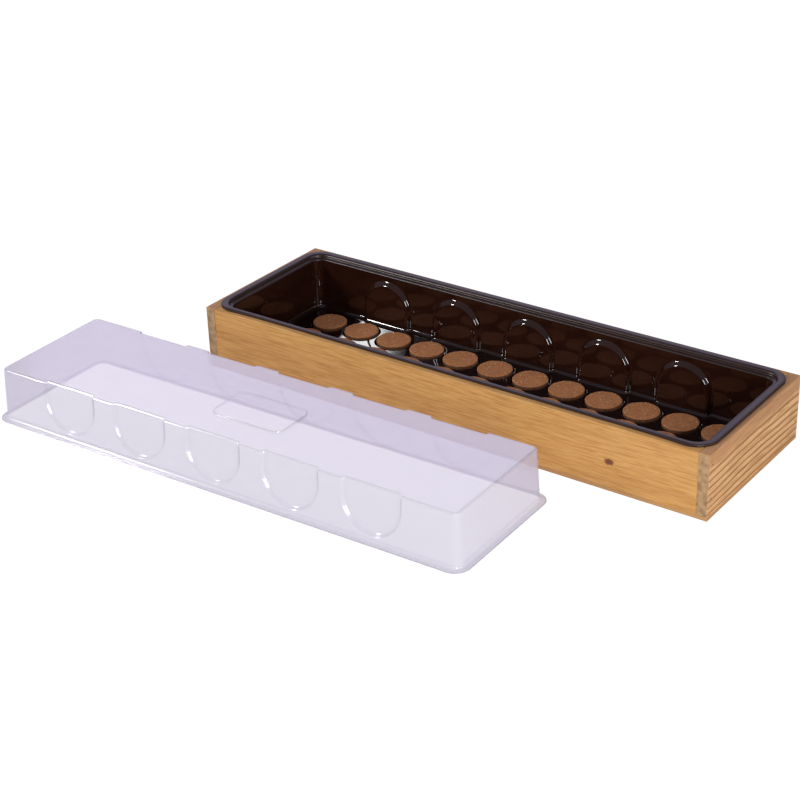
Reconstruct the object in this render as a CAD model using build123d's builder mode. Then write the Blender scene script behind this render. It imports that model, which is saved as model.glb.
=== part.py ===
from build123d import *
from math import cos, radians, sin, tan
import os

os.makedirs("parts", exist_ok=True)

# Coir pellets: dry pressed discs, three rows of twelve
pellet_diameter = 38.0
pellet_thickness = 7.0
pellet_sides = 16
columns = 12
row_names = ("front", "middle", "back")

# Growing tray: one thermoformed sheet
tray_sheet = 0.8
well_play = 1.0
well_depth = 4.0
well_sides = 20
cup_sides = 8
web_width = 3.0
end_border = 17.4
side_border = 10.9
tray_depth = 57.1
tray_draft = 1.8
tray_corner = 10.0
floor_bevel = 3.5
ledge_width = 4.0
ledge_drop = 4.0
rim_height = 2.2
rim_bevel = 0.8
rim_over_ends = 7.0
rim_over_sides = 8.0
tray_play = 0.5
tray_lift_gap = 0.3

# Stiffening arches that stand out of the tray's long walls
arch_count = 5
arch_width = 65.0
arch_gap = 24.9
arch_head_room = 5.5
arch_depth = 4.5
arch_bevel = 1.2
arch_sides = 20

# Wooden box
board_thickness = 11.5
base_thickness = 4.0
edge_ease = 0.5

# Flat-sided wire nails, shot through the end boards and up through the base panel
nail_width = 1.25
nail_thickness = 1.0
nail_head_width = 2.4
nail_head = 0.5
nail_sink = 0.3
nail_fit = 0.02
corner_nail_length = 28.0
nail_from_top = 11.7
nail_from_bottom = 17.9
base_nail_length = 18.0
base_nail_margin = 60.0
base_nails_per_side = 4

# Clear lid: one thermoformed sheet, lying open side down in front of the box
lid_sheet = 0.8
lid_play = 1.0
lid_flange = 6.0
lid_height = 55.5
lid_draft = 3.0
lid_corner = 9.5
lid_roof_bevel = 2.0
recess_count = 5
recess_width = 58.0
recess_gap = 31.9
recess_depth = 3.5
recess_foot = 5.5
recess_bevel = 1.0
pad_length = 83.0
pad_width = 51.0
pad_corner = 10.0
pad_rise = 1.5
pad_shift_x = 11.5
pad_shift_y = -10.0
lid_gap = 45.1
lid_shift = -121.7
lid_turn = 1.54

# Sizes that follow, from the pellets outwards to the box and the lid
rows = len(row_names)
well_radius = pellet_diameter / 2 + well_play
pitch = 2 * well_radius + web_width
floor_length = columns * pitch - web_width + 2 * end_border
floor_width = rows * pitch - web_width + 2 * side_border
tray_lean = radians(tray_draft)
tray_spread = tray_depth * tan(tray_lean)
ledge_length = floor_length + 2 * tray_spread + 2 * ledge_width
ledge_across = floor_width + 2 * tray_spread + 2 * ledge_width
ledge_corner = tray_corner + ledge_width
step_length = ledge_length + 2 * tray_sheet
step_across = ledge_across + 2 * tray_sheet
step_corner = ledge_corner + tray_sheet
rim_length = step_length + 2 * rim_over_ends
rim_across = step_across + 2 * rim_over_sides
rim_corner = step_corner + rim_over_ends

long_board_length = step_length + 2 * tray_play
box_length = long_board_length + 2 * board_thickness
box_width = step_across + 2 * tray_play + 2 * board_thickness

well_floor_z = base_thickness + tray_lift_gap + tray_sheet
web_z = well_floor_z + well_depth
ledge_z = web_z + tray_depth
rim_z = ledge_z + ledge_drop
box_height = rim_z - rim_height
board_height = box_height - base_thickness

flange_length = ledge_length - 2 * lid_play
flange_width = ledge_across - 2 * lid_play
dome_length = flange_length - 2 * lid_flange
dome_width = flange_width - 2 * lid_flange
lid_lean = radians(lid_draft)
lid_spread = lid_height * tan(lid_lean)

# The lid lies turned a little against the box, on the same surface
lid_plane = Plane(
    origin=(lid_shift, -box_width / 2 - lid_gap - flange_width / 2, 0),
    x_dir=(cos(radians(lid_turn)), sin(radians(lid_turn)), 0),
    z_dir=(0, 0, 1),
)


def on_lid(plane):
    """A plane of the lid's own frame, as a plane of the whole part."""
    return Plane(lid_plane.location * plane.location)


def drafted_block(ground, low, high, length, width, corner, spread):
    """A rounded rectangle at low whose walls lean out by spread on the way to high."""
    with BuildPart() as block:
        with BuildSketch(ground.offset(low)):
            RectangleRounded(length, width, corner)
        with BuildSketch(ground.offset(high)):
            RectangleRounded(length + 2 * spread, width + 2 * spread, corner + spread)
        loft(ruled=True)
    return block.part


def rounded_arches(walls, count, spacing, width, straight, low, high, bevel):
    """A row of round-headed ridges on each wall plane, run out past its foot."""
    with BuildPart() as ridges:
        for wall in walls:
            with BuildSketch(wall.offset(low)):
                with GridLocations(spacing, 0, count, 1):
                    with Locations((0, -width / 2)):
                        Rectangle(width, straight + width / 2, align=(Align.CENTER, Align.MIN))
                    with Locations((0, straight)):
                        RegularPolygon(width / 2, arch_sides)
            extrude(amount=high - low)
            inward = Axis((0, 0, 0), wall.z_dir)
            crowns = ridges.faces(Select.LAST).filter_by(wall).group_by(inward)[-1]
            chamfer(crowns.edges(), bevel)
    return ridges.part


def nails(plane, places, length, fit):
    """Headed nails driven in at places on a plane, or with a fit the pockets they sit in."""
    with BuildPart() as driven:
        with BuildSketch(plane.offset(-nail_sink)):
            with Locations(*places):
                Rectangle(nail_width + 2 * fit, nail_thickness + 2 * fit)
        extrude(amount=-length - fit)
        with BuildSketch(plane.offset(-nail_sink - nail_head - fit)):
            with Locations(*places):
                Rectangle(nail_head_width + 2 * fit, nail_thickness + 2 * fit)
        extrude(amount=nail_head + fit + (2 * nail_sink if fit else 0))
    return driven.part


# Growing tray: the space inside it, with the wells and with the arches left standing
arch_straight = tray_depth - arch_head_room - arch_width / 2
tray_walls = [
    Plane(
        origin=(0, side * floor_width / 2, web_z),
        x_dir=(side, 0, 0),
        z_dir=(0, -side * cos(tray_lean), sin(tray_lean)),
    )
    for side in (1, -1)
]

with BuildPart() as tray_inside:
    add(drafted_block(Plane.XY, web_z, ledge_z, floor_length, floor_width, tray_corner, tray_spread))
    chamfer(tray_inside.faces().sort_by(Axis.Z)[0].edges(), floor_bevel)
    add(
        rounded_arches(
            tray_walls,
            arch_count,
            arch_width + arch_gap,
            arch_width,
            arch_straight,
            -tray_sheet,
            arch_depth,
            arch_bevel,
        ),
        mode=Mode.SUBTRACT,
    )
    with BuildSketch(Plane.XY.offset(well_floor_z)):
        with GridLocations(pitch, pitch, columns, rows):
            RegularPolygon(well_radius, well_sides, major_radius=False)
    extrude(amount=2 * well_depth)
    with BuildSketch(Plane.XY.offset(ledge_z)):
        RectangleRounded(ledge_length, ledge_across, ledge_corner)
    extrude(amount=2 * ledge_drop)

# Growing tray: the sheet itself, hollow behind the arches and under the rim
with BuildPart() as growing_tray:
    add(
        drafted_block(
            Plane.XY,
            web_z - tray_sheet,
            ledge_z,
            floor_length + 2 * tray_sheet,
            floor_width + 2 * tray_sheet,
            tray_corner + tray_sheet,
            tray_spread,
        )
    )
    chamfer(growing_tray.faces().sort_by(Axis.Z)[0].edges(), floor_bevel + tray_sheet)
    add(
        rounded_arches(
            tray_walls,
            arch_count,
            arch_width + arch_gap,
            arch_width - 2 * tray_sheet,
            arch_straight,
            -2 * arch_depth,
            arch_depth - tray_sheet,
            arch_bevel,
        ),
        mode=Mode.SUBTRACT,
    )
    with BuildSketch(Plane.XY.offset(well_floor_z - tray_sheet)):
        with GridLocations(pitch, pitch, columns, rows):
            RegularPolygon(well_radius + tray_sheet, cup_sides, False, 180 / cup_sides)
    extrude(amount=well_depth)
    with BuildSketch(Plane.XY.offset(ledge_z - tray_sheet)):
        RectangleRounded(step_length, step_across, step_corner)
    extrude(amount=ledge_drop + tray_sheet)
    with BuildSketch(Plane.XY.offset(box_height)):
        RectangleRounded(rim_length, rim_across, rim_corner)
    extrude(amount=rim_height)
    chamfer(growing_tray.faces().sort_by(Axis.Z)[-1].edges(), rim_bevel)
    with BuildSketch(Plane.XY.offset(box_height)):
        RectangleRounded(rim_length - 2 * tray_sheet, rim_across - 2 * tray_sheet, rim_corner - tray_sheet)
        RectangleRounded(step_length, step_across, step_corner, mode=Mode.SUBTRACT)
    extrude(amount=rim_height - tray_sheet, mode=Mode.SUBTRACT)
    add(tray_inside.part, mode=Mode.SUBTRACT)
growing_tray.part.label = "growing_tray"
export_step(growing_tray.part, "parts/growing_tray.step")

# Coir pellets, one in each well
for row, row_name in enumerate(row_names):
    for column in range(columns):
        centre_x = (column - (columns - 1) / 2) * pitch
        centre_y = (row - (rows - 1) / 2) * pitch
        with BuildPart() as pellet:
            with BuildSketch(Plane((centre_x, centre_y, well_floor_z))):
                RegularPolygon(pellet_diameter / 2, pellet_sides)
            extrude(amount=pellet_thickness)
        pellet.part.label = f"pellet_{row_name}_{column + 1:02d}"
        export_step(pellet.part, f"parts/{pellet.part.label}.step")

# Corner nails: two at each corner, through the end boards into the ends of the long boards
nail_heights = (base_thickness + nail_from_bottom, box_height - nail_from_top)
long_board_line = (box_width - board_thickness) / 2
end_board_line = (box_length - board_thickness) / 2
corner_places = [(y, z) for y in (-long_board_line, long_board_line) for z in nail_heights]
end_faces = {
    "left": Plane(origin=(-box_length / 2, 0, 0), x_dir=(0, -1, 0), z_dir=(-1, 0, 0)),
    "right": Plane(origin=(box_length / 2, 0, 0), x_dir=(0, 1, 0), z_dir=(1, 0, 0)),
}
corner_pockets = {
    name: nails(face, corner_places, corner_nail_length, nail_fit) for name, face in end_faces.items()
}

# Base nails: up through the base panel into the boards that stand on it
base_nail_step = (long_board_length - 2 * base_nail_margin) / (base_nails_per_side - 1)
base_places = [(-end_board_line, 0), (end_board_line, 0)]
for base_nail in range(base_nails_per_side):
    nail_x = (base_nail - (base_nails_per_side - 1) / 2) * base_nail_step
    base_places += [(nail_x, -long_board_line), (nail_x, long_board_line)]
base_face = Plane(origin=(0, 0, 0), x_dir=(1, 0, 0), z_dir=(0, 0, -1))
base_pockets = nails(base_face, base_places, base_nail_length, nail_fit)

# Long boards, butted between the end boards
for side, name in ((-1, "front_board"), (1, "back_board")):
    with BuildPart() as long_board:
        with BuildSketch(Plane((0, side * long_board_line, base_thickness))):
            Rectangle(long_board_length, board_thickness)
        extrude(amount=board_height)
        chamfer(long_board.edges(), edge_ease)
        add(corner_pockets["left"], mode=Mode.SUBTRACT)
        add(corner_pockets["right"], mode=Mode.SUBTRACT)
        add(base_pockets, mode=Mode.SUBTRACT)
    long_board.part.label = name
    export_step(long_board.part, f"parts/{name}.step")

# End boards, the full width of the box, with their nails
for name, face in end_faces.items():
    with BuildPart() as end_board:
        with BuildSketch(Plane((face.z_dir.X * end_board_line, 0, base_thickness))):
            Rectangle(board_thickness, box_width)
        extrude(amount=board_height)
        chamfer(end_board.edges(), edge_ease)
        add(corner_pockets[name], mode=Mode.SUBTRACT)
        add(base_pockets, mode=Mode.SUBTRACT)
    end_board.part.label = f"{name}_end_board"
    export_step(end_board.part, f"parts/{end_board.part.label}.step")

    with BuildPart() as corner_nails:
        add(nails(face, corner_places, corner_nail_length, 0))
    corner_nails.part.label = f"{name}_corner_nails"
    export_step(corner_nails.part, f"parts/{corner_nails.part.label}.step")

# Base panel under the boards, and its nails
with BuildPart() as base_panel:
    with BuildSketch():
        Rectangle(box_length, box_width)
    extrude(amount=base_thickness)
    chamfer(base_panel.edges(), edge_ease)
    add(base_pockets, mode=Mode.SUBTRACT)
base_panel.part.label = "base_panel"
export_step(base_panel.part, "parts/base_panel.step")

with BuildPart() as base_nails:
    add(nails(base_face, base_places, base_nail_length, 0))
base_nails.part.label = "base_nails"
export_step(base_nails.part, "parts/base_nails.step")

# Clear lid: the recesses hang from the roof's edge, so their planes run downwards
recess_straight = lid_height - recess_foot - recess_width / 2
lid_walls = [
    on_lid(
        Plane(
            origin=(0, side * (dome_width / 2 - lid_spread), lid_height),
            x_dir=(-side, 0, 0),
            z_dir=(0, -side * cos(lid_lean), -sin(lid_lean)),
        )
    )
    for side in (-1, 1)
]

with BuildPart() as lid_inside:
    add(
        drafted_block(
            lid_plane,
            0,
            lid_height - lid_sheet,
            dome_length - 2 * lid_sheet,
            dome_width - 2 * lid_sheet,
            lid_corner - lid_sheet,
            -lid_spread,
        )
    )
    chamfer(lid_inside.faces().sort_by(Axis.Z)[-1].edges(), lid_roof_bevel - lid_sheet)
    add(
        rounded_arches(
            lid_walls,
            recess_count,
            recess_width + recess_gap,
            recess_width + 2 * lid_sheet,
            recess_straight,
            -lid_sheet,
            recess_depth + lid_sheet,
            recess_bevel,
        ),
        mode=Mode.SUBTRACT,
    )
    with BuildSketch(lid_plane.offset(lid_height / 2)):
        with Locations((pad_shift_x, pad_shift_y)):
            RectangleRounded(pad_length - 2 * lid_sheet, pad_width - 2 * lid_sheet, pad_corner - lid_sheet)
    extrude(amount=lid_height / 2 - lid_sheet + pad_rise)

with BuildPart() as clear_lid:
    add(drafted_block(lid_plane, 0, lid_height, dome_length, dome_width, lid_corner, -lid_spread))
    chamfer(clear_lid.faces().sort_by(Axis.Z)[-1].edges(), lid_roof_bevel)
    add(
        rounded_arches(
            lid_walls,
            recess_count,
            recess_width + recess_gap,
            recess_width,
            recess_straight,
            -2 * recess_depth,
            recess_depth,
            recess_bevel,
        ),
        mode=Mode.SUBTRACT,
    )
    with BuildSketch(lid_plane):
        RectangleRounded(flange_length, flange_width, lid_corner + lid_flange)
    extrude(amount=lid_sheet)
    with BuildSketch(lid_plane.offset(lid_height - lid_sheet)):
        with Locations((pad_shift_x, pad_shift_y)):
            RectangleRounded(pad_length, pad_width, pad_corner)
    extrude(amount=lid_sheet + pad_rise)
    add(lid_inside.part, mode=Mode.SUBTRACT)
clear_lid.part.label = "clear_lid"
export_step(clear_lid.part, "parts/clear_lid.step")
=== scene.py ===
import math

import bpy
import numpy as np
from mathutils import Matrix, Vector, noise
from mathutils.geometry import delaunay_2d_cdt


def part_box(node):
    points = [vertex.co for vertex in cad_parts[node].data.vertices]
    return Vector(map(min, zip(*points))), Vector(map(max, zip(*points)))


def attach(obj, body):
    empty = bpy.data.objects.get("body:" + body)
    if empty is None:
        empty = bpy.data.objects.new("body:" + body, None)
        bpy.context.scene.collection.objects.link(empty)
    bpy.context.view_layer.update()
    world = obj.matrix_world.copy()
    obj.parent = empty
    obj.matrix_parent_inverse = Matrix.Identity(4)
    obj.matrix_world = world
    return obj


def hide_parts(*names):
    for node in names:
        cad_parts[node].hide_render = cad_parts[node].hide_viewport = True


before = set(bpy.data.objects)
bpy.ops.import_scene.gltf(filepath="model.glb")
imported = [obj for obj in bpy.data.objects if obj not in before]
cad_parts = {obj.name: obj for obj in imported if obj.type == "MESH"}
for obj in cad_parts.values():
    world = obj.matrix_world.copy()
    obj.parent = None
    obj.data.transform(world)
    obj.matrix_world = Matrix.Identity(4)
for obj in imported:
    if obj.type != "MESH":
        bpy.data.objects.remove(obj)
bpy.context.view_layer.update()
mm = 0.001


# Camera at the photograph's place
camera_azimuth = 36.585
camera_elevation = 27.657
camera_roll = -1.895
camera_distance = 1.8761
camera_target = Vector((-0.07649, -0.04918, 0))
focal_length_px = 1846.5
photo_width_px = 800


def place_camera():
    """A camera that looks at the target from its azimuth and elevation, turned by its roll."""
    azimuth, elevation, roll = (math.radians(a) for a in (camera_azimuth, camera_elevation, camera_roll))
    out = math.cos(elevation)
    back = Vector((math.sin(azimuth) * out, -math.cos(azimuth) * out, math.sin(elevation)))
    level = Vector((0, 0, 1)).cross(back).normalized()
    upright = back.cross(level)
    right = level * math.cos(roll) + upright * math.sin(roll)
    up = upright * math.cos(roll) - level * math.sin(roll)
    data = bpy.data.cameras.new("photo_camera")
    data.sensor_width = 36
    data.lens = focal_length_px / photo_width_px * data.sensor_width
    data.clip_start = 0.05
    data.clip_end = 50
    camera = bpy.data.objects.new("photo_camera", data)
    bpy.context.scene.collection.objects.link(camera)
    turn = Matrix((right, up, back)).transposed().to_4x4()
    camera.matrix_world = Matrix.Translation(camera_target + back * camera_distance) @ turn
    bpy.context.scene.camera = camera


class Value:
    """A shader socket that Python arithmetic works on."""

    def __init__(self, finish, socket):
        self.finish = finish
        self.socket = socket

    def math(self, operation, *others):
        sockets = {i: other for i, other in enumerate((self, *others))}
        return self.finish.node("Math", {"operation": operation}, sockets)

    def __add__(self, other):
        return self.math("ADD", other)

    __radd__ = __add__

    def __mul__(self, other):
        return self.math("MULTIPLY", other)

    __rmul__ = __mul__

    def __sub__(self, other):
        return self.math("SUBTRACT", other)

    def __rsub__(self, other):
        return self.math("MULTIPLY_ADD", -1.0, other)

    def __truediv__(self, other):
        return self.math("DIVIDE", other)

    def __pow__(self, other):
        return self.math("POWER", other)


class Finish:
    """The nodes of a material, or of the world."""

    def __init__(self, owner):
        self.owner = owner
        self.owner.use_nodes = True
        self.tree = self.owner.node_tree
        self.tree.nodes.clear()

    def node(self, kind, settings=None, sockets=None, output=0):
        """A node of a type, its settings first, then the values or links of its sockets."""
        made = self.tree.nodes.new("ShaderNode" + kind)
        for key, value in (settings or {}).items():
            setattr(made, key, value)
        for key, value in (sockets or {}).items():
            if isinstance(value, Value):
                self.tree.links.new(value.socket, made.inputs[key])
            else:
                made.inputs[key].default_value = value
        return Value(self, made.outputs[output]) if made.outputs else None

    def part(self, vector, axis):
        """One coordinate of a vector."""
        return self.node("SeparateXYZ", None, {0: vector}, axis)

    def vector(self, x, y, z):
        return self.node("CombineXYZ", None, {0: x, 1: y, 2: z})

    def place(self):
        """The place of a point in the frame, in metres."""
        return self.node("TexCoord", None, None, "Object")

    def normal(self):
        return self.node("NewGeometry", None, None, "Normal")

    def ray(self, output):
        """What the light path says of the ray that reaches a point."""
        return self.node("LightPath", None, None, output)

    def stretched(self, vector, scale):
        return self.node("VectorMath", {"operation": "MULTIPLY"}, {0: vector, 1: scale})

    def noise(self, vector, scale, detail=3, roughness=0.5):
        return self.node(
            "TexNoise", None, {"Vector": vector, "Scale": scale, "Detail": detail, "Roughness": roughness}
        )

    def between(self, value, low, high):
        """0 below low, 1 above high and smooth between them."""
        settings = {"interpolation_type": "SMOOTHSTEP"}
        return self.node("MapRange", settings, {0: value, 1: low, 2: high})

    def mix(self, factor, first, second):
        """The first colour, turning to the second as the factor rises."""
        return self.node("Mix", {"data_type": "RGBA"}, {0: factor, 6: first, 7: second}, 2)

    def bump(self, height, strength, distance):
        return self.node("Bump", None, {"Height": height, "Strength": strength, "Distance": distance})

    def mixed_shader(self, share, first, second):
        """The first shader, turning to the second as the share rises."""
        return self.node("MixShader", None, {0: share, 1: first, 2: second})

    def surface(self, sockets):
        """The Principled shader with these sockets, as the material's surface."""
        return self.output(self.node("BsdfPrincipled", None, sockets))

    def output(self, shader, kind="OutputMaterial"):
        """Makes a shader the surface, and gives the material or world that the nodes belong to."""
        self.node(kind, None, {"Surface": shader})
        return self.owner


def new_finish(name):
    return Finish(bpy.data.materials.new(name))


def colour(red, green, blue):
    """A colour given as it is seen on a screen, from 0 to 255, in linear light."""
    seen = [c / 255 for c in (red, green, blue)]
    return tuple(c / 12.92 if c <= 0.04045 else ((c + 0.055) / 1.055) ** 2.4 for c in seen) + (1.0,)


# Sizes of the growing tray; those that show in the solids are read from them
sheet = 0.8 * mm
tray_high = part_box("growing_tray")[1]
first_low, first_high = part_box("pellet_front_01")
next_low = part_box("pellet_front_02")[0]
pitch = next_low.x - first_low.x
pellet_radius = (first_high.x - first_low.x) / 2
pellet_height = first_high.z - first_low.z
columns = 12
rows = ("front", "middle", "back")
well_play = 1 * mm
well_depth = 4 * mm
well_fold = 1.0 * mm
well_sides = 56
well_radius = pellet_radius + well_play
well_floor_z = first_low.z
web_z = well_floor_z + well_depth
rim_z = tray_high.z
ledge_drop = 4 * mm
ledge_z = rim_z - ledge_drop
ledge_width = 4 * mm
rim_over_ends = 7 * mm
rim_over_sides = 8 * mm
rim_height = 2.2 * mm
rim_bow = 2.2 * mm
rim_edge_fold = 1.0 * mm
rim_inner_fold = 2.6 * mm
ledge_fold = 1.2 * mm
wall_top_fold = 1.6 * mm
floor_fold = 4.5 * mm
floor_inset = 4.6 * mm
tray_corner = 10 * mm
tray_draft = math.radians(1.8)
step_half_x = tray_high.x - rim_over_ends
step_half_y = tray_high.y - rim_over_sides
ledge_half_x = step_half_x - sheet
ledge_half_y = step_half_y - sheet
tray_spread = (ledge_z - web_z) * math.tan(tray_draft)
floor_half_x = ledge_half_x - ledge_width - tray_spread
floor_half_y = ledge_half_y - ledge_width - tray_spread
arch_width = 65 * mm
arch_step = 89.9 * mm
arch_depth = 4.5 * mm
arch_head_room = 5.5 * mm
arch_fold = 3.8 * mm
arch_slope = 62
arch_centres = [i * arch_step for i in range(-2, 3)]

# Sizes of the clear lid; its recesses stand above the tray's arches when it covers the tray
lid_turn = math.radians(1.54)
lid_low, lid_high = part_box("clear_lid")
lid_middle = ((lid_low.x + lid_high.x) / 2, (lid_low.y + lid_high.y) / 2, lid_low.z)
lid_frame = Matrix.Translation(lid_middle) @ Matrix.Rotation(lid_turn, 4, "Z")
lid_play = 1.0 * mm
lid_flange = 6 * mm
lid_height = 55.5 * mm
lid_draft = math.radians(3)
lid_corner = 9.5 * mm
flange_half_x = ledge_half_x - lid_play
flange_half_y = ledge_half_y - lid_play
flange_lift = 0.02 * mm
flange_edge_fold = 0.35 * mm
flange_fold = 1.6 * mm
roof_fold = 3.0 * mm
roof_inset = 3.4 * mm
recess_width = 65.5 * mm
recess_depth = 3.5 * mm
recess_foot = 5.5 * mm
recess_fold = 1.6 * mm
recess_slope = 70
recess_centres = arch_centres
back_recess_shift = 6 * mm
pad_length = 83 * mm
pad_width = 51 * mm
pad_corner = 10 * mm
pad_rise = 1.5 * mm
pad_fold = 0.5 * mm
pad_centre = np.array((11.5 * mm, -10 * mm))

# Sizes of a pellet's crumbly surface
pellet_sides = 60
crumb_room = 0.35 * mm
crumb_height = 0.16 * mm
crumb_scale = 420
lump_height = 0.3 * mm
lump_scale = 90


# Finishes
def pine(name, along, across, through, heart, period, contrast, tones, knot=None, ringed_to=1.0):
    """Sawn pine: rings round a heart line that runs along the board, up to a height, and fibres."""
    finish = new_finish(name)
    pale, ringed, worn = tones
    heart_height, heart_depth = heart
    place = finish.place()
    length = finish.part(place, along)
    height = finish.part(place, across)
    depth = finish.part(place, through)
    slow = finish.noise(finish.vector(length * 5.0, height * 9.0, depth * 9.0), 1.0, 2)
    slower = finish.noise(finish.vector(length * 2.2 + 7.0, height * 3.0, depth * 3.0), 1.0, 1)
    swing = (slow - 0.5) * 0.018 + (slower - 0.5) * 0.05
    up = height - heart_height + swing
    side = depth - heart_depth
    radius = (up * up + side * side) ** 0.5
    if knot:
        knot_x, knot_z, knot_length, knot_height = knot
        off_x = (length - knot_x) / knot_length
        off_z = (height - knot_z) / knot_height
        spread = (off_x * off_x + off_z * off_z) ** 0.5
        near = 1.0 - finish.between(spread, 0.7, 3.5)
        radius = radius + near * 0.006
    rings = (radius / period).math("FRACT")
    late = finish.between(rings, 0.40, 0.92) * (1.0 - finish.between(rings, 0.93, 1.0))
    above = finish.between(height + swing * 0.5, ringed_to - 0.002, ringed_to + 0.002)
    late = late * (1.0 - above * 0.85)
    fibres = finish.noise(finish.vector(length * 60.0, height * 1500.0, depth * 1500.0), 1.0, 4, 0.6)
    streaks = finish.noise(finish.vector(length * 32.0 + 3.0, height * 560.0, depth * 560.0), 1.0, 4, 0.65)
    patches = finish.noise(finish.vector(length * 11.0, height * 60.0, depth * 60.0), 1.0, 3)
    wood = finish.mix(late * contrast, pale, ringed)
    wood = finish.mix(finish.between(streaks, 0.44, 0.64) * 0.6, wood, ringed)
    wood = finish.mix(finish.between(fibres, 0.45, 0.75) * 0.45, wood, worn)
    wood = finish.mix(finish.between(patches, 0.45, 0.75) * 0.35, wood, worn)
    wood = finish.mix(above * 0.6, wood, worn)
    if knot:
        ragged = spread + (finish.noise(place, 420.0, 2) - 0.5) * 1.1
        core = 1.0 - finish.between(ragged, 0.7, 1.1)
        wood = finish.mix(core * 0.9, wood, colour(98, 46, 34))
    relief = fibres * 0.5 + streaks * 0.4 - late * 0.5
    return finish.surface(
        {
            "Base Color": wood,
            "Roughness": 0.5 + late * 0.12,
            "Normal": finish.bump(relief, 0.35, 0.0006),
            "Specular IOR Level": 0.35,
        }
    )


def end_grain(name, pale, dark):
    """The crosscut ends of the boards: greyer, with fine pores."""
    finish = new_finish(name)
    place = finish.place()
    pores = finish.noise(place, 1400.0, 3, 0.6)
    blots = finish.noise(place, 160.0, 4, 0.6)
    tone = finish.mix(finish.between(blots, 0.35, 0.7), pale, dark)
    tone = finish.mix(finish.between(pores, 0.5, 0.75) * 0.5, tone, dark)
    return finish.surface(
        {"Base Color": tone, "Roughness": 0.7, "Normal": finish.bump(pores, 0.3, 0.0004)}
    )


def plywood():
    """The base panel: thin plies that show at its edge, and fibres along the box."""
    finish = new_finish("plywood")
    place = finish.place()
    ply = 0.0013
    plies = (finish.part(place, "Z") / ply).math("FRACT")
    fibres = finish.noise(finish.stretched(place, (30.0, 700.0, 700.0)), 1.0, 3)
    tone = finish.mix(finish.between(plies, 0.45, 0.6) * 0.4, colour(190, 145, 92), colour(140, 98, 58))
    tone = finish.mix(finish.between(fibres, 0.4, 0.75) * 0.4, tone, colour(150, 108, 66))
    return finish.surface(
        {"Base Color": tone, "Roughness": 0.65, "Normal": finish.bump(fibres, 0.25, 0.0004)}
    )


def brown_sheet():
    """Glossy dark brown sheet with slight waves: painted shade darkens its web and wells, and it is duller
    at its top and cut edge.
    """
    finish = new_finish("brown_sheet")
    place = finish.place()
    height = finish.part(place, "Z")
    waves = finish.noise(place, 38.0, 2)
    grain = finish.noise(place, 900.0, 2)
    # Painted shade: the sheet is darkened low in the tray, on the web and in the wells, where shade falls.
    painted_shade_low = 1.0 - finish.between(height, 0.008, 0.016)
    clamped = finish.between(height, ledge_z - 3 * mm, ledge_z - 1 * mm)
    beyond_x = finish.part(place, "X").math("ABSOLUTE") - (tray_high.x - 0.7 * mm)
    beyond_y = (-1.0 * finish.part(place, "Y")) - (tray_high.y - 1.0 * mm - rim_bow)
    trimmed = finish.between(beyond_x.math("MAXIMUM", beyond_y), -0.4 * mm, 0.1 * mm)
    tone = finish.mix(finish.between(waves, 0.35, 0.7), colour(36, 16, 10), colour(43, 21, 14))
    # A near-black brown is mixed in here as painted shade low in the tray.
    tone = finish.mix(painted_shade_low, tone, colour(25, 11, 8))
    return finish.surface(
        {
            "Base Color": tone,
            "Roughness": 0.055 + finish.between(grain, 0.3, 0.8) * 0.012 + clamped * 0.3 + trimmed * 0.45,
            "Normal": finish.bump(waves, 0.004, 0.002),
            "IOR": 1.52,
        }
    )


def clear_sheet():
    """Clear sheet gone slightly milky: part lets light through, part is pale and glossy, with painted light
    on the roof and painted shade on the walls.
    """
    finish = new_finish("clear_sheet")
    place = finish.place()
    cloud = finish.noise(place, 14.0, 3)
    facing = finish.node("LayerWeight", None, {"Blend": 0.35}, "Facing")
    slope = finish.part(finish.normal(), "Z").math("ABSOLUTE")
    # Painted light and shade: the roof takes a paler, lit tone of the milky sheet and the walls a darker,
    # shaded tone.
    roof = finish.between(slope, 0.9, 0.99) * finish.between(finish.part(place, "Z"), 0.05, 0.053)
    upright = finish.mix(cloud, colour(200, 195, 206), colour(207, 202, 213))
    flat = finish.mix(cloud, colour(231, 226, 234), colour(237, 232, 240))
    body = finish.node(
        "BsdfPrincipled",
        None,
        {
            "Base Color": finish.mix(roof, upright, flat),
            "Roughness": 0.14,
            "IOR": 1.8,
            "Specular IOR Level": 1.0,
            "Normal": finish.bump(cloud, 0.006, 0.002),
        },
    )
    through = finish.node("BsdfTransparent", None, {"Color": colour(248, 247, 251)})
    share = (0.36 + facing * 0.09 + (cloud - 0.5) * 0.04) * (1.0 - finish.ray("Is Shadow Ray") * 0.75)
    return finish.output(finish.mixed_shader(share, through, body))


def pressed_coir():
    """Pressed coir: tan-brown dust and fibres with paler specks, with painted shade round the side."""
    finish = new_finish("pressed_coir")
    place = finish.place()
    dust = finish.noise(place, 700.0, 4, 0.7)
    clumps = finish.noise(place, 200.0, 3)
    specks = finish.noise(place, 480.0, 1)
    facing_up = finish.part(finish.normal(), "Z")
    tone = finish.mix(finish.between(dust, 0.3, 0.75), colour(210, 140, 90), colour(136, 82, 48))
    tone = finish.mix(finish.between(clumps, 0.45, 0.75) * 0.45, tone, colour(146, 90, 58))
    tone = finish.mix(finish.between(specks, 0.68, 0.74), tone, colour(232, 198, 150))
    # Painted shade: the side of each pellet, which faces away from the top, is darkened.
    tone = finish.mix((1.0 - finish.between(facing_up, 0.1, 0.7)) * 0.7, tone, colour(54, 28, 18))
    return finish.surface(
        {"Base Color": tone, "Roughness": 0.9, "Normal": finish.bump(dust, 0.6, 0.0008)}
    )


def nail_steel():
    """Dull wire nails."""
    finish = new_finish("nail_steel")
    spots = finish.noise(finish.place(), 1500.0, 2)
    return finish.surface(
        {
            "Base Color": finish.mix(spots, colour(96, 88, 80), colour(60, 52, 46)),
            "Metallic": 1.0,
            "Roughness": 0.35 + spots * 0.2,
        }
    )


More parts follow.
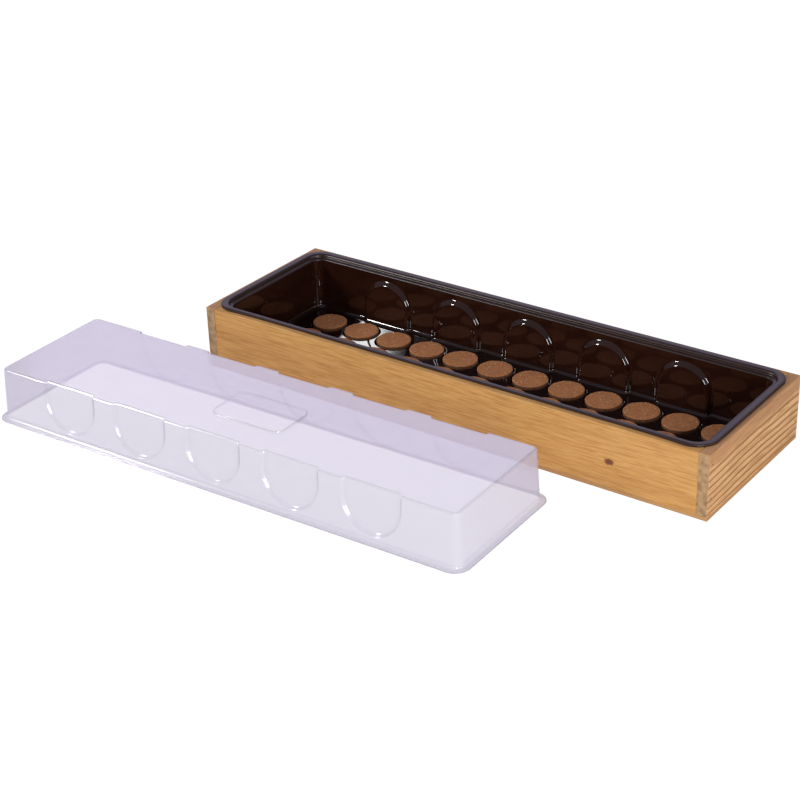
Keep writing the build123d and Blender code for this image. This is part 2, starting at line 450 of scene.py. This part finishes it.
# Sheets made of closed loops of points
class Outline:
    """A rounded rectangle's straight runs and corners, sampled once, that loops follow at any reach."""

    def __init__(self, half_x, half_y, corner, along_x, run_y, corner_steps):
        core_x = half_x - corner
        core_y = half_y - corner
        along_x = np.asarray(along_x, dtype=float)
        along_y = np.linspace(-core_y, core_y, run_y + 1)
        quarter = np.linspace(0, math.pi / 2, corner_steps + 1)[1:-1]
        core, normal = [], []
        runs = [
            (along_x, -core_y, -90),
            (core_x, along_y, 0),
            (along_x[::-1], core_y, 90),
            (-core_x, along_y[::-1], 180),
        ]
        corners = [
            (core_x, -core_y, -90),
            (core_x, core_y, 0),
            (-core_x, core_y, 90),
            (-core_x, -core_y, 180),
        ]
        for (x, y, facing), (corner_x, corner_y, start) in zip(runs, corners):
            run = np.stack(np.broadcast_arrays(x, y), axis=-1)
            angle = math.radians(facing)
            core.append(run)
            normal.append(np.tile((math.cos(angle), math.sin(angle)), (len(run), 1)))
            angles = math.radians(start) + quarter
            core.append(np.tile((corner_x, corner_y), (len(angles), 1)))
            normal.append(np.stack((np.cos(angles), np.sin(angles)), axis=-1))
        self.core = np.concatenate(core)
        self.normal = np.concatenate(normal)
        self.core_y = core_y
        self.on_long_side = np.abs(self.normal[:, 1]) > 0.999

    def loop(self, reach, across=0.0, dent=0.0):
        """The loop's points at a reach from the core, spread across, and dented inwards."""
        points = self.core + self.normal * (reach - np.reshape(dent, (-1, 1)))
        points[:, 1] += across * self.core[:, 1] / self.core_y
        return points


class Surface:
    """Points and faces of one sheet, built from loops that are bridged and filled."""

    def __init__(self):
        self.points = []
        self.faces = []

    def loop(self, xy, z):
        """Adds a closed loop of points and gives their numbers."""
        first = len(self.points)
        heights = np.broadcast_to(z, len(xy))
        self.points.extend((float(p[0]), float(p[1]), float(h)) for p, h in zip(xy, heights))
        return list(range(first, len(self.points)))

    def bridge(self, outer, inner):
        """Joins two loops of as many points each with four-sided faces."""
        count = len(outer)
        for i in range(count):
            j = (i + 1) % count
            self.faces.append((outer[i], outer[j], inner[j], inner[i]))

    def sweep(self, loops):
        """Adds loops of (points, height), each joined to the one before, and gives the first and last."""
        made = [self.loop(xy, z) for xy, z in loops]
        for outer, inner in zip(made, made[1:]):
            self.bridge(outer, inner)
        return made[0], made[-1]

    def fill(self, outer, holes=()):
        """Fills a flat loop, with holes left open."""
        numbers = list(outer)
        edges = [(i, (i + 1) % len(outer)) for i in range(len(outer))]
        hole_of = {}
        for hole in holes:
            first = len(numbers)
            numbers += hole
            edges += [(first + i, first + (i + 1) % len(hole)) for i in range(len(hole))]
            hole_of.update({number: first for number in hole})
        flat = [Vector(self.points[n][:2]) for n in numbers]
        inside_with_holes = 2
        least_distance = 1e-7
        made = delaunay_2d_cdt(flat, edges, [], inside_with_holes, least_distance)
        _, _, triangles, origins, _, _ = made
        for triangle in triangles:
            corners = tuple(numbers[origins[v][0]] for v in triangle)
            around = {hole_of.get(corner) for corner in corners}
            if len(around) > 1 or None in around:
                self.faces.append(corners)

    def piece(self, name, turn=None):
        """The surface as an object, placed by a matrix."""
        mesh = bpy.data.meshes.new(name)
        mesh.from_pydata(self.points, [], self.faces)
        if turn is not None:
            mesh.transform(turn)
        mesh.polygons.foreach_set("use_smooth", [True] * len(mesh.polygons))
        made = bpy.data.objects.new(name, mesh)
        bpy.context.scene.collection.objects.link(made)
        return made


def section_line(corners, arc_steps=5):
    """Points of a section whose corners are (reach, height, radius, steps to the next corner)."""
    points = []
    for i, (reach, height, radius, _) in enumerate(corners):
        here = np.array((reach, height))
        if 0 < i < len(corners) - 1 and radius > 0:
            back = np.array(corners[i - 1][:2]) - here
            ahead = np.array(corners[i + 1][:2]) - here
            back, ahead = back / np.linalg.norm(back), ahead / np.linalg.norm(ahead)
            half = math.acos(np.clip(back @ ahead, -1, 1)) / 2
            middle = (back + ahead) / np.linalg.norm(back + ahead)
            centre = here + middle * radius / math.sin(half)
            start = here + back * radius / math.tan(half) - centre
            end = here + ahead * radius / math.tan(half) - centre
            sweep = math.pi - 2 * half
            arc = [
                centre + (start * math.sin(sweep * (1 - t)) + end * math.sin(sweep * t)) / math.sin(sweep)
                for t in np.linspace(0, 1, arc_steps + 1)
            ]
        else:
            arc = [here]
        steps = corners[i - 1][3]
        if points and steps > 1:
            last = points[-1]
            points += [last + (arc[0] - last) * t for t in np.linspace(0, 1, steps + 1)[1:-1]]
        points += arc
    return np.array(points)


def fold(distance, depth, radius, slope):
    """The height of a step of that depth whose two folds have a radius and whose side has a slope."""
    slope = math.radians(slope)
    run = radius * math.sin(slope)
    rise = radius * (1 - math.cos(slope))
    width = 2 * run + (depth - 2 * rise) / math.tan(slope)
    low = np.clip(distance, 0, run)
    high = np.clip(width - distance, 0, run)
    foot = radius - np.sqrt(radius**2 - low**2)
    head = depth - (radius - np.sqrt(radius**2 - high**2))
    side = rise + (distance - run) * math.tan(slope)
    return np.where(distance <= run, foot, np.where(distance >= width - run, head, side))


def arch_distance(x, height, centres, width, straight):
    """How far a point lies inside the nearest round-headed arch of a row."""
    x = x[:, None] - np.asarray(centres)[None, :]
    up = np.maximum(height - straight, 0)
    return (width / 2 - np.hypot(x, np.reshape(up, (-1, 1)))).max(axis=1)


def arch_row_columns(half, centres, width):
    """Places along a straight run, close together across each arch and wider apart between them."""
    fine, coarse = 0.75 * mm, 2.5 * mm
    margin = 2 * mm
    stops = [-half]
    for centre in centres:
        stops += [centre - width / 2 - margin, centre + width / 2 + margin]
    stops.append(half)
    places = [-half]
    for i, (start, end) in enumerate(zip(stops, stops[1:])):
        step = fine if i % 2 else coarse
        count = max(1, round((end - start) / step))
        places += list(np.linspace(start, end, count + 1)[1:])
    return places


def with_gauge(piece):
    """Gives a formed surface the sheet's gauge, behind its faces."""
    gauge = piece.modifiers.new("gauge", "SOLIDIFY")
    gauge.thickness = sheet
    gauge.offset = -1
    gauge.use_even_offset = True
    return piece


# Growing tray
def make_tray():
    """The tray's whole sheet: rim, ledge, walls with their arches, floor and wells."""
    core_x = floor_half_x - tray_corner
    along_x = arch_row_columns(core_x, arch_centres, arch_width)
    outline = Outline(floor_half_x, floor_half_y, tray_corner, along_x, run_y=48, corner_steps=12)
    wall_rows = 72
    top = tray_corner + tray_spread
    ledge = top + ledge_width
    rim_out = ledge + sheet + rim_over_ends
    section = section_line(
        [
            (rim_out, rim_z - rim_height, 0, 1),
            (rim_out, rim_z, rim_edge_fold, 2),
            (ledge, rim_z, rim_inner_fold, 1),
            (ledge, ledge_z, ledge_fold, 1),
            (top, ledge_z, wall_top_fold, wall_rows),
            (tray_corner, web_z, floor_fold, 1),
            (tray_corner - floor_inset, web_z, 0, 1),
        ]
    )
    straight = ledge_z - web_z - arch_head_room - arch_width / 2
    extra = rim_over_sides - rim_over_ends
    x, y = outline.core[:, 0], outline.core[:, 1]
    bow = np.where(y < 0, rim_bow * (1 - (x / core_x) ** 12), 0)
    loops = []
    for reach, z in section:
        inside = arch_distance(x, z - web_z, arch_centres, arch_width, straight)
        dent = np.where(outline.on_long_side, fold(inside, arch_depth, arch_fold, arch_slope), 0)
        outwards = np.clip((reach - ledge) / (rim_out - ledge), 0, 1)
        loops.append((outline.loop(reach, (extra - bow) * outwards, dent), z))
    surface = Surface()
    _, floor_edge = surface.sweep(loops)
    wells = [make_well(surface, x, y) for x in well_places(columns) for y in well_places(len(rows))]
    surface.fill(floor_edge, wells)
    return with_gauge(surface.piece("formed_tray"))


def well_places(count):
    return [(i - (count - 1) / 2) * pitch for i in range(count)]


def make_well(surface, x, y):
    """One well's folds, wall and bottom, and gives the loop at its mouth, in the web."""
    around = np.linspace(0, 2 * math.pi, well_sides, endpoint=False)
    circle = np.stack((np.cos(around), np.sin(around)), axis=-1)
    section = section_line(
        [
            (well_radius + 1.25 * mm, web_z, 0, 1),
            (well_radius, web_z, well_fold, 2),
            (well_radius - 0.2 * mm, well_floor_z, well_fold, 1),
            (well_radius - 3.0 * mm, well_floor_z, 0, 1),
        ],
        arc_steps=4,
    )
    mouth, bottom = surface.sweep([(circle * reach + (x, y), z) for reach, z in section])
    surface.fill(bottom)
    return mouth


# Clear lid
def make_lid():
    """The lid's whole sheet: flange, walls with their recesses, roof and pad."""
    spread = lid_height * math.tan(lid_draft)
    half_x = flange_half_x - lid_flange
    half_y = flange_half_y - lid_flange
    reached = recess_width + 2 * back_recess_shift
    along_x = arch_row_columns(half_x - lid_corner, recess_centres, reached)
    outline = Outline(half_x, half_y, lid_corner, along_x, run_y=44, corner_steps=14)
    wall_rows = 70
    section = section_line(
        [
            (lid_corner + lid_flange, flange_lift, 0, 1),
            (lid_corner + lid_flange, sheet, flange_edge_fold, 2),
            (lid_corner, sheet, flange_fold, wall_rows),
            (lid_corner - spread, lid_height, roof_fold, 1),
            (lid_corner - spread - roof_inset, lid_height, 0, 1),
        ]
    )
    straight = lid_height - recess_foot - recess_width / 2
    x, y = outline.core[:, 0], outline.core[:, 1]
    along = x - np.where(y > 0, back_recess_shift, 0)
    loops = []
    for reach, z in section:
        inside = arch_distance(along, lid_height - z, recess_centres, recess_width, straight)
        dent = np.where(outline.on_long_side, fold(inside, recess_depth, recess_fold, recess_slope), 0)
        loops.append((outline.loop(reach, 0.0, dent), z))
    surface = Surface()
    _, roof_edge = surface.sweep(loops)
    surface.fill(roof_edge, [make_pad(surface)])
    return with_gauge(surface.piece("formed_lid", lid_frame))


def make_pad(surface):
    """The flat raised pad on the roof, and gives the loop at its foot."""
    core_x = pad_length / 2 - pad_corner
    along_x = np.linspace(-core_x, core_x, 3)
    outline = Outline(pad_length / 2, pad_width / 2, pad_corner, along_x, run_y=2, corner_steps=10)
    section = section_line(
        [
            (pad_corner + 0.9 * mm, lid_height, 0, 1),
            (pad_corner, lid_height, pad_fold, 1),
            (pad_corner - 0.3 * mm, lid_height + pad_rise, pad_fold, 1),
            (pad_corner - 1.2 * mm, lid_height + pad_rise, 0, 1),
        ],
        arc_steps=4,
    )
    foot, top = surface.sweep([(outline.loop(reach) + pad_centre, z) for reach, z in section])
    surface.fill(top)
    return foot


# Coir pellets
def make_pellet(name, centre, seed):
    """A pressed disc with a crumbly rim and a faintly dished, grainy top."""
    around = np.linspace(0, 2 * math.pi, pellet_sides, endpoint=False)
    radius = pellet_radius - crumb_room
    top = centre.z + pellet_height
    section = section_line(
        [
            (radius * 0.6, centre.z, 0, 1),
            (radius - 0.2 * mm, centre.z, 0.8 * mm, 4),
            (radius, top - 0.5 * mm, 1.0 * mm, 6),
            (radius * 0.15, top - 0.7 * mm, 0, 1),
        ],
        arc_steps=3,
    )
    offset = Vector((seed * 3.1, seed * 1.7, 0))
    loops = []
    for reach, z in section:
        ring = []
        heights = []
        for angle in around:
            x, y = reach * math.cos(angle), reach * math.sin(angle)
            crumb = noise.noise(Vector((x, y, z)) * crumb_scale + offset) * crumb_height
            lump = noise.noise(Vector((x, y, z)) * lump_scale + offset) * lump_height
            rough = crumb + lump
            grow = 1 + min(rough, lump_height) / max(reach, mm)
            ring.append((centre.x + x * grow, centre.y + y * grow))
            heights.append(z + rough * (z > centre.z + pellet_height / 2))
        loops.append((np.array(ring), np.array(heights)))
    surface = Surface()
    bottom, crown = surface.sweep(loops)
    surface.faces += [tuple(reversed(bottom)), tuple(crown)]
    return surface.piece(name)


def dress(piece, node, body, material):
    """A piece stands for a node, rides with its body and takes the slot's finish."""
    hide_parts(node)
    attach(piece, body)
    piece.data.materials.append(material)


def finish_node(name, material, end_material=None):
    """Gives a CAD node its finish, and its crosscut ends, which face along Y, another where given."""
    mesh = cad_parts[name].data
    mesh.materials.clear()
    mesh.materials.append(material)
    if end_material:
        mesh.materials.append(end_material)
        for polygon in mesh.polygons:
            polygon.material_index = int(abs(polygon.normal.y) > 0.9)


# Floor, world and lamps
def make_floor():
    """A floor that glows white where it is seen directly, and is only lit where a glossy face mirrors it."""
    half = 6.0
    corners = [(-half, -half, 0), (half, -half, 0), (half, half, 0), (-half, half, 0)]
    mesh = bpy.data.meshes.new("floor")
    mesh.from_pydata(corners, [], [(0, 1, 2, 3)])
    floor = bpy.data.objects.new("floor", mesh)
    floor.location.z = -0.2 * mm
    bpy.context.scene.collection.objects.link(floor)
    finish = new_finish("floor_white")
    seen = finish.ray("Is Camera Ray").math("MAXIMUM", finish.ray("Is Glossy Ray"))
    seen = seen.math("MAXIMUM", finish.ray("Is Transmission Ray"))
    place = finish.place()
    distance = (finish.part(place, "X") ** 2.0 + finish.part(place, "Y") ** 2.0) ** 0.5
    far = finish.between(distance, 0.5, 1.3)
    in_a_mirror = finish.ray("Glossy Depth").math("MINIMUM", 1.0)
    share = seen * (far * 0.12 + 0.88) * (1.0 - in_a_mirror * 0.95)
    dull = finish.node("BsdfDiffuse", None, {"Color": (0.86, 0.86, 0.87, 1)})
    glow = finish.node("Emission", None, {"Color": (1, 1, 1, 1), "Strength": 1.1})
    mesh.materials.append(finish.output(finish.mixed_shader(share, dull, glow)))


def make_world():
    """White where it is seen, pale lilac where it is mirrored and dim where it lights."""
    finish = Finish(bpy.data.worlds.new("studio"))
    seen = finish.ray("Is Camera Ray").math("MAXIMUM", finish.ray("Is Transmission Ray"))
    white = finish.node("Background", None, {"Color": (1, 1, 1, 1)})
    pale = finish.node("Background", None, {"Color": (0.90, 0.84, 1.0, 1), "Strength": 0.3})
    dim = finish.node("Background", None, {"Color": (0.95, 0.95, 1.0, 1), "Strength": 0.31})
    unseen = finish.mixed_shader(finish.ray("Is Glossy Ray"), dim, pale)
    bpy.context.scene.world = finish.output(finish.mixed_shader(seen, unseen, white), "OutputWorld")


def lamp(name, place, size, power, tint=(1.0, 1.0, 1.0)):
    """A soft rectangular lamp that looks at the object from its place."""
    data = bpy.data.lights.new(name, "AREA")
    data.shape = "RECTANGLE"
    data.color = tint
    data.size, data.size_y = size
    data.energy = power
    made = bpy.data.objects.new(name, data)
    made.location = place
    made.rotation_mode = "QUATERNION"
    made.rotation_quaternion = Vector(place).to_track_quat("Z", "Y")
    bpy.context.scene.collection.objects.link(made)


place_camera()
make_floor()
make_world()
lamp("left_strip", (-1.335, -1.30, 0.95), (0.12, 0.40), 19)
lamp("right_box", (1.40, -1.25, 0.47), (0.30, 0.90), 21)
lamp("right_fill", (2.1, 0.1, 0.75), (1.2, 1.0), 7)
lamp("back_sheen", (-1.3, 1.8, 1.25), (2.0, 0.9), 7, (0.80, 0.71, 1.0))

front_pine = pine(
    "front_pine", "X", "Z", "Y",
    heart=(0.020, -0.120), period=0.0045, contrast=0.10,
    tones=(colour(205, 156, 92), colour(170, 116, 54), colour(162, 110, 56)),
    knot=(0.191, 0.0307, 0.0054, 0.0036),
)
back_pine = pine(
    "back_pine", "X", "Z", "Y",
    heart=(0.050, 0.125), period=0.0062, contrast=0.35,
    tones=(colour(206, 156, 98), colour(180, 122, 66), colour(164, 110, 62)),
)
end_pine = pine(
    "end_pine", "Y", "Z", "X",
    heart=(0.066, 0.270), period=0.0062, contrast=0.9,
    tones=(colour(224, 178, 122), colour(146, 92, 50), colour(164, 112, 70)),
    ringed_to=0.052,
)
crosscut = end_grain("crosscut_pine", colour(176, 144, 104), colour(136, 106, 74))
steel = nail_steel()
finish_node("front_board", front_pine)
finish_node("back_board", back_pine)
finish_node("left_end_board", end_pine, crosscut)
finish_node("right_end_board", end_pine, crosscut)
finish_node("base_panel", plywood())
for node in ("left_corner_nails", "right_corner_nails", "base_nails"):
    finish_node(node, steel)

dress(make_tray(), "growing_tray", "growing_tray", brown_sheet())
dress(make_lid(), "clear_lid", "clear_lid", clear_sheet())
coir = pressed_coir()
for row_number, row in enumerate(rows):
    for column in range(1, columns + 1):
        node = f"pellet_{row}_{column:02d}"
        low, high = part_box(node)
        middle = Vector(((low.x + high.x) / 2, (low.y + high.y) / 2, low.z))
        seed = row_number * columns + column
        dress(make_pellet(f"coir_{row}_{column:02d}", middle, seed), node, node, coir)

bpy.context.scene.view_settings.view_transform = "Standard"
